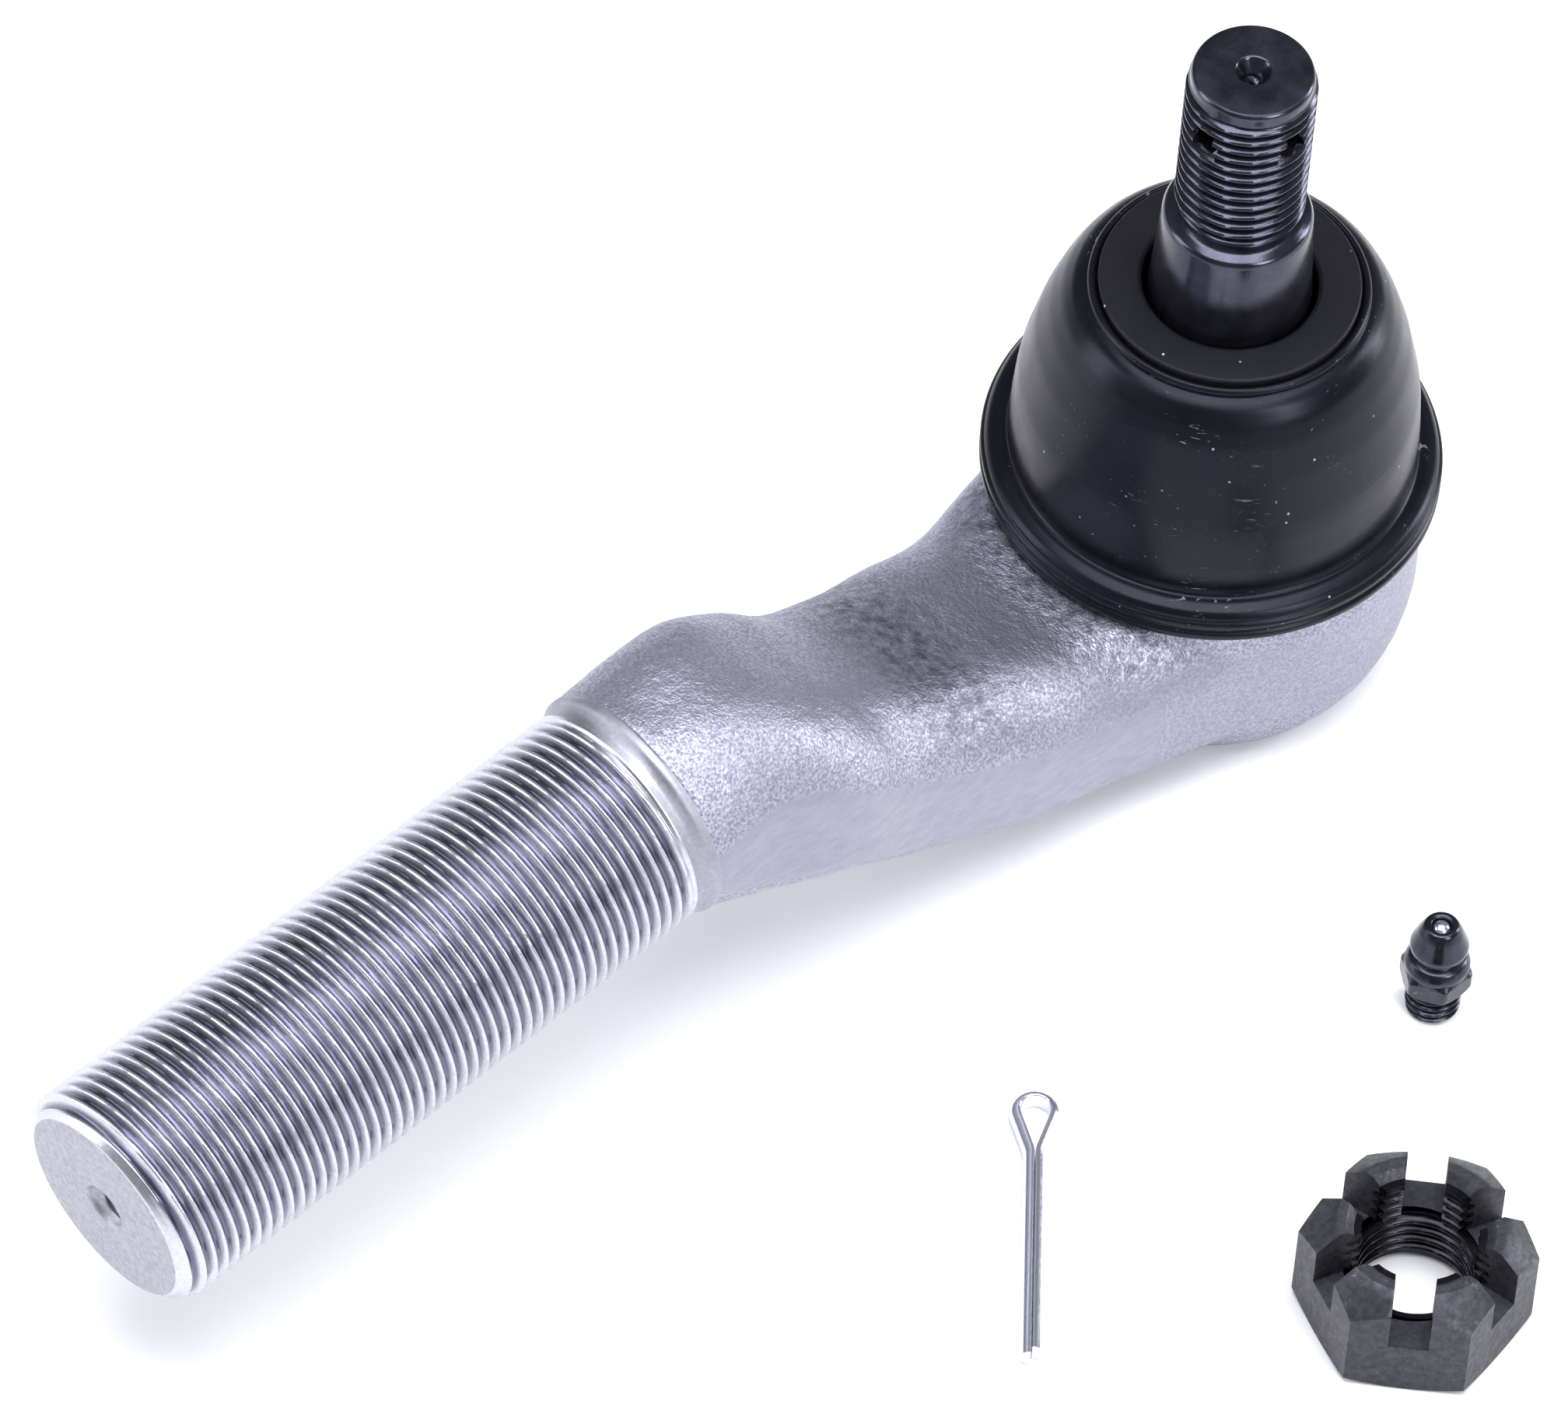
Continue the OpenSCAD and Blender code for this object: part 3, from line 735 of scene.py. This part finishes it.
def ball_stud():
    neck_z = math.sqrt(BALL_R ** 2 - NECK_R ** 2)
    flat_z = -0.88 * BALL_R
    start = math.acos(flat_z / BALL_R)
    stop = math.asin(NECK_R / BALL_R)
    ball = [np.array([BALL_R * math.sin(a), BALL_R * math.cos(a)]) for a in np.linspace(start, stop, 40)]
    r, top = STUD_R, STUD_TOP_Z
    low, high = top - 20.4, top - 1.8
    relief = r - 1.1
    upper = rounded([
        (NECK_R, neck_z), (NECK_R, neck_z + 5), (NECK_R + 0.5, neck_z + 7.5),
        (taper_radius(32) - 0.6, 27.8), (taper_radius(32), 29.4), (taper_radius(32), 32),
        (taper_radius(51), 51), (taper_radius(51) - 0.25, 51.55), (r - 0.1, 52.05), (r - 0.7, 52.25),
        (relief, 52.5), (relief, low - 0.7), (r - 0.02, low),
        (r - 0.02, high), (r - 0.4, high + 0.3), (r - 0.45, top - 0.4), (r - 0.75, top),
        (1.95, top), (0.9, top - 1.7), (0.9, top - 3.8),
        (0, top - 4.4)], 0.22, 3)
    outline = [np.array([0, flat_z])] + ball + upper[1:]
    mesh = turned("stud", outline, 144, threads=[(low - 0.5, high + 0.5, STUD_PITCH, 0.88)])
    stud = new_object("stud", mesh, STUD_BLACK, STUD_TOP)
    hole_z = top - 6.4
    for axis, (dx, dy) in (("x", (1, 0)), ("y", (0, 1))):
        reach = 9
        cut(stud, rod("hole", 1.6, (-dx * reach, -dy * reach, hole_z), (dx * reach, dy * reach, hole_z)))
    for face in stud.data.polygons:
        face.material_index = 1 if face.center.z / MM > top - 0.05 else 0
    finish_mesh(stud.data, 50)
    return show(stud, "stud", "ball_stud", slot="black_steel")


# ----------------------------------------------------------------- castle nut

NUT_AF, NUT_H, NUT_SLOT_W, NUT_SLOT_DEPTH = 22.0, 14.0, 4.3, 6.8
NUT_TURN = 11.6
SLOT_TURNS = (30, 90, 150)


def node_place(node):
    """Middle of a CAD node's box in x and y, and its lowest z, in mm."""
    low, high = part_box(node)
    return (low[0] + high[0]) / 2 / MM, (low[1] + high[1]) / 2 / MM, low[2] / MM


def castle_nut():
    x, y, base = node_place("castle_nut")
    turned_to = Matrix.Rotation(math.radians(NUT_TURN), 4, "Z")
    place = Matrix.Translation((x * MM, y * MM, base * MM)) @ turned_to
    corner, major, minor = NUT_AF / 2 / math.cos(math.pi / 6), STUD_R, STUD_R - 0.812
    chamfer = [(0, 0), (NUT_AF / 2 - 0.4, 0), (corner + 0.02, 0.9), (corner + 0.02, NUT_H - 3.3),
               (11.0, NUT_H - 1.75), (8.9, NUT_H), (0, NUT_H)]
    body = turned("nut", resampled([np.array(p, float) for p in chamfer], 9), 96)
    nut = new_object("nut", body, NUT, NUT_EDGE)
    prism = bmesh.new()
    bmesh.ops.create_cone(prism, cap_ends=True, segments=6, radius1=corner * MM, radius2=corner * MM,
                          depth=(NUT_H + 4) * MM)
    mesh = bpy.data.meshes.new("hex")
    prism.to_mesh(mesh)
    prism.free()
    mesh.transform(Matrix.Translation((0, 0, NUT_H / 2 * MM)) @ hex_turn(mesh))
    cut(nut, new_object("hex", mesh), operation="INTERSECT")
    cut(nut, rod("bore", major + 0.02, (0, 0, -2), (0, 0, NUT_H + 2), 96))
    sink = turned("sink", [np.array(p, float) for p in
                           ((0, NUT_H - 0.9), (major, NUT_H - 0.9), (major + 1.0, NUT_H + 0.1),
                            (major + 1.0, NUT_H + 2), (0, NUT_H + 2))], 96)
    cut(nut, new_object("sink", sink))
    for turn in SLOT_TURNS:
        cut(nut, slot_cutter(corner, turn))
    soften = nut.modifiers.new("soften", "BEVEL")
    soften.width = 0.22 * MM
    soften.segments = 3
    soften.limit_method = "ANGLE"
    soften.angle_limit = math.radians(28)
    # the bevel faces take the paler edge colour
    soften.material = 1
    applied(nut)
    nut.data.transform(place)
    finish_mesh(nut.data, 40)
    show(nut, "nut", "castle_nut", slot="nut_steel")

    inner = [(major + 0.02, 0.05), (major + 0.02, NUT_H - 0.9), (minor + 0.1, NUT_H - 0.9),
             (minor, NUT_H - 1.2), (minor, 1.0), (major - 0.1, 0.05), (major + 0.02, 0.05)]
    thread = turned("nut_thread", [np.array(p, float) for p in inner], 120,
                    threads=[(0.4, NUT_H - 1.0, STUD_PITCH, -0.80)])
    sleeve = new_object("nut_thread", thread, NUT_THREAD)
    for turn in SLOT_TURNS:
        cut(sleeve, slot_cutter(corner, turn))
    sleeve.data.transform(place)
    finish_mesh(sleeve.data, 50)
    show(sleeve, "nut", "castle_nut", slot="nut_steel")


def hex_turn(mesh):
    """Turns a six-sided prism so that its corners lie at 0, 60, 120 degrees."""
    corner = max(mesh.vertices, key=lambda v: v.co.x)
    return Matrix.Rotation(-math.atan2(corner.co.y, corner.co.x), 4, "Z")


def slot_cutter(corner, turn):
    """A bar across the nut. Each turn gets its own length, so that no cutter faces coincide."""
    reach, half = corner + 1 + turn / 100, NUT_SLOT_W / 2
    cutter = block("slot", (-reach, -half, NUT_H - NUT_SLOT_DEPTH), (reach, half, NUT_H + 3))
    cutter.data.transform(Matrix.Rotation(math.radians(turn), 4, "Z"))
    return cutter


# -------------------------------------------------------------------- split pin

PIN_TIP, PIN_TURN = (-82.7, -62.6), 46.2


def split_pin():
    """Half-round wire swept along both legs and round the eye."""
    low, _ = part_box("cotter_pin")
    r, inner, neck, length = 1.15, 1.65, 5.35, 34.8
    spread = math.asin(inner / neck)
    eye_z = length - inner - r
    gap = 0.07
    path = [(gap, z, 0) for z in np.linspace(0, eye_z - neck - 1.2, 12)]
    path += [(gap, eye_z - neck - 0.2, -spread * 0.25), (gap + 0.12, eye_z - neck + 0.5, -spread * 0.8)]
    path += [(inner * math.cos(a), eye_z + inner * math.sin(a), a)
             for a in np.linspace(-spread, math.pi + spread, 40)]
    path += [(-gap - 0.12, eye_z - neck + 0.5, math.pi + spread * 0.8),
             (-gap, eye_z - neck - 0.2, math.pi + spread * 0.25)]
    path += [(-gap, z, math.pi) for z in np.linspace(eye_z - neck - 1.2, 0.7, 12)]
    half = rounded([(0, -r + 0.12), (0.12, -r + 0.01)]
                   + [(r * math.cos(b), r * math.sin(b)) for b in np.linspace(-1.4, 1.4, 15)]
                   + [(0.12, r - 0.01), (0, r - 0.12)], 0.05, 1)
    rows = []
    for y, z, a in path:
        rows.append([(w, y + out * math.cos(a), z + out * math.sin(a)) for out, w in half])
    rows = np.array(rows)
    caps = [np.repeat(rows[i].mean(0)[None, :], rows.shape[1], 0)[None] for i in (0, -1)]
    mesh = grid_mesh("split_pin", np.concatenate([caps[0], rows, caps[1]]))
    tip = Vector((*PIN_TIP, low[2] / MM + r)) * MM
    lying = Matrix.Rotation(math.radians(PIN_TURN), 4, "Z") @ Matrix.Rotation(math.pi / 2, 4, "Y")
    mesh.transform(Matrix.Translation(tip) @ lying)
    finish_mesh(mesh, 40)
    obj = new_object("split_pin", mesh, ZINC)
    return show(obj, "split_pin", "cotter_pin", slot="zinc_steel")


# --------------------------------------------------------------- grease fitting

def grease_fitting():
    x, y, base = node_place("grease_fitting_body")
    r, hex_z, hex_h, h = 3.0, 4.6, 2.7, 14.0
    top = hex_z + hex_h
    outline = rounded([
        (0.9, 0), (r - 0.6, 0), (r - 0.02, 0.6), (r - 0.02, hex_z - 0.8), (r - 0.55, hex_z - 0.5),
        (r - 0.55, hex_z), (3.4, hex_z + 0.01), (3.95, hex_z + 0.45), (3.95, top - 0.45), (3.45, top),
        (3.55, top + 0.1), (3.55, top + 0.7), (3.1, top + 1.5), (2.35, top + 1.8), (2.3, top + 2.4),
        (3.15, top + 3.0), (3.17, top + 3.6), (2.35, h - 1.05), (1.9, h - 0.2), (1.65, h),
        (1.25, h - 0.02), (1.05, h - 0.15), (1.05, h - 0.5), (1.32, h - 0.5), (1.32, 4.2), (0.9, 4.2),
        (0.9, 0)], 0.14, 2)
    mesh = turned("fitting", outline, 144, threads=[(0.2, hex_z - 0.6, 1.0, 0.55)],
                  hexagon=(hex_z, top, 7.0), step=0.5, turn=30)
    mesh.transform(Matrix.Translation((x * MM, y * MM, base * MM)))
    finish_mesh(mesh, 32)
    obj = new_object("fitting", mesh, FITTING)
    return show(obj, "fitting", "grease_fitting_body", slot="fitting_steel")


# ------------------------------------------------------- stage, lights, camera

def stage(floor_z):
    floor_mesh = bpy.data.meshes.new("floor")
    size = 6.0
    corners = [(-size, -size, 0), (size, -size, 0), (size, size, 0), (-size, size, 0)]
    floor_mesh.from_pydata(corners, [], [(0, 1, 2, 3)])
    floor_mesh.transform(Matrix.Translation((0, 0, floor_z)))
    new_object("floor", floor_mesh, pale_floor())
    world = bpy.data.worlds.new("studio")
    bpy.context.scene.world = world
    world.use_nodes = True
    world.node_tree.nodes["Background"].inputs["Color"].default_value = (0.88, 0.90, 1.0, 1)
    world.node_tree.nodes["Background"].inputs["Strength"].default_value = 0.26


LAMP_COLOUR = (0.95, 0.96, 1.0)


def softbox(name, place, target, width, height, power):
    light = bpy.data.lights.new(name, "AREA")
    light.shape = "RECTANGLE"
    light.size, light.size_y = width, height
    light.energy = power
    light.color = LAMP_COLOUR
    obj = bpy.data.objects.new(name, light)
    obj.location = place
    obj.rotation_euler = (Vector(target) - Vector(place)).to_track_quat("-Z", "Y").to_euler()
    bpy.context.scene.collection.objects.link(obj)


# the view: long lens, from the shank's side and above, turned a little about its own axis
VIEW_AZIMUTH, VIEW_ELEVATION, VIEW_ROLL = -48.4, 50.8, 6.4
VIEW_DISTANCE, LENS = 1.77, 376.5
AIM_RIGHT, AIM_UP = -0.0453, -0.0208


def view_axes():
    a, e, r = (math.radians(v) for v in (VIEW_AZIMUTH, VIEW_ELEVATION, VIEW_ROLL))
    back = Vector((math.sin(a) * math.cos(e), -math.cos(a) * math.cos(e), math.sin(e)))
    right = Vector((math.cos(a), math.sin(a), 0))
    up = back.cross(right)
    return back, math.cos(r) * right + math.sin(r) * up, -math.sin(r) * right + math.cos(r) * up


def camera():
    """Stands back from the ball centre and turns to the middle of the object."""
    back, right, up = view_axes()
    data = bpy.data.cameras.new("camera")
    data.lens, data.sensor_width = LENS, 36
    data.clip_start, data.clip_end = 0.05, 20
    obj = bpy.data.objects.new("camera", data)
    place = back * VIEW_DISTANCE
    outward = (place - right * AIM_RIGHT - up * AIM_UP).normalized()
    across = up.cross(outward).normalized()
    turn = Matrix((across, outward.cross(across), outward)).transposed().to_4x4()
    obj.matrix_world = Matrix.Translation(place) @ turn
    bpy.context.scene.collection.objects.link(obj)
    bpy.context.scene.camera = obj


def lights():
    back, right, _ = view_axes()
    level = Vector((back.x, back.y, 0)).normalized()
    side = Vector((right.x, right.y, 0)).normalized()
    target = Vector((-0.05, -0.01, 0.01))
    high = Vector((0, 0, 1))
    softbox("top", target + high * 1.0 + level * 0.06, target, 0.95, 0.75, 15)
    softbox("right", target + side * 0.62 + high * 0.58 + level * 0.62, target, 0.3, 0.6, 5.5)
    softbox("edge", target + side * 0.9 + high * 0.30 - level * 0.35, target, 0.2, 0.7, 6)
    softbox("left", target - side * 0.9 + high * 0.35 + level * 0.05, target, 0.35, 0.8, 4.5)


# ----------------------------------------------------------------------- build

forging()
shank()
dust_boot()
boot_washer()
ball_stud()
castle_nut()
split_pin()
grease_fitting()

CARRIED = {"upper_bearing": POLYMER, "bearing_liner": POLYMER, "lower_bearing_seat": POLYMER,
           "preload_spring": SPRING, "cover_plate": PLATE, "boot_base_ring": PLATE,
           "boot_top_ring": PLATE, "grease_fitting_ball": ZINC, "grease_fitting_spring": SPRING}
for node_name, material in CARRIED.items():
    node_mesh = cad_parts[node_name].data
    node_mesh.materials.clear()
    node_mesh.materials.append(material)

stage(-CUP_BASE * MM)
camera()
lights()
bpy.context.scene.view_settings.view_transform = "Standard"
